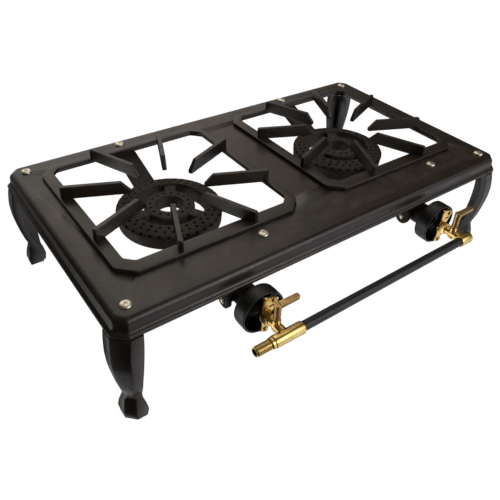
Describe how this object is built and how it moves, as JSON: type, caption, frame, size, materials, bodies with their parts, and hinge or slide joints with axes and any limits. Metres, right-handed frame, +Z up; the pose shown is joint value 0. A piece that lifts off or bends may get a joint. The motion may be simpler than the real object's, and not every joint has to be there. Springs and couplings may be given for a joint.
{
  "type": "propane burner stand",
  "caption": "Low cast-iron gas stove for brewing: octagonal-cornered frame on curved legs, ring burners under pot grates, brass gas taps on a front manifold.",
  "frame": {"origin": "on the floor, under the middle of the stove's bounding box", "axes": "+X along the long side, to the right seen from the taps; +Y away from the taps; +Z up"},
  "size_m": [0.6176, 0.413, 0.1675],
  "materials": {
    "painted_iron": "satin black paint over sand-cast iron",
    "burner_iron": "rough as-cast with a thin black coat",
    "black_paint": "satin black",
    "brass": "turned, bright",
    "zinc": "zinc plated"
  },
  "bodies": {
    "stand": {"frame": "painted_iron", "grate_left": "painted_iron", "grate_right": "painted_iron", "leg_front_left": "painted_iron", "leg_front_right": "painted_iron", "leg_back_left": "painted_iron", "leg_back_right": "painted_iron", "burner_left": "burner_iron", "burner_right": "burner_iron", "screw_front_left": "zinc", "screw_front_right": "zinc", "screw_back_left": "zinc", "screw_back_right": "zinc", "screw_front_burner_left": "zinc", "screw_front_burner_right": "zinc", "screw_back_burner_left": "zinc", "screw_back_burner_right": "zinc", "nut_front_left": "zinc", "nut_front_right": "zinc", "nut_back_left": "zinc", "nut_back_right": "zinc", "nut_front_burner_left": "zinc", "nut_front_burner_right": "zinc", "nut_back_burner_left": "zinc", "nut_back_burner_right": "zinc", "lug_screw_left": "zinc", "lug_screw_right": "zinc", "air_cup_left": "black_paint", "air_cup_right": "black_paint", "jet_strap_left": "brass", "jet_strap_right": "brass", "jet_left": "brass", "jet_right": "brass", "strap_screw_top_left": "brass", "strap_screw_top_right": "brass", "strap_screw_bottom_left": "brass", "strap_screw_bottom_right": "brass", "tap_body_left": "brass", "tap_body_right": "brass", "manifold_pipe": "black_paint", "inlet_nipple": "brass"},
    "tap_left": {"tap_plug_left": "brass", "tap_lever_left": "brass", "lever_screw_left": "brass", "plug_nut_left": "brass"},
    "tap_right": {"tap_plug_right": "brass", "tap_lever_right": "brass", "lever_screw_right": "brass", "plug_nut_right": "brass"}
  },
  "joints": [
    {"name": "tap_turn_left", "type": "hinge", "parent": "stand", "child": "tap_left", "pos_m": [-0.147, -0.18227, 0.104], "axis": [0, 0, -1], "range_deg": [0, 90]},
    {"name": "tap_turn_right", "type": "hinge", "parent": "stand", "child": "tap_right", "pos_m": [0.147, -0.18227, 0.104], "axis": [0, 0, -1], "range_deg": [0, 90]}
  ]
}
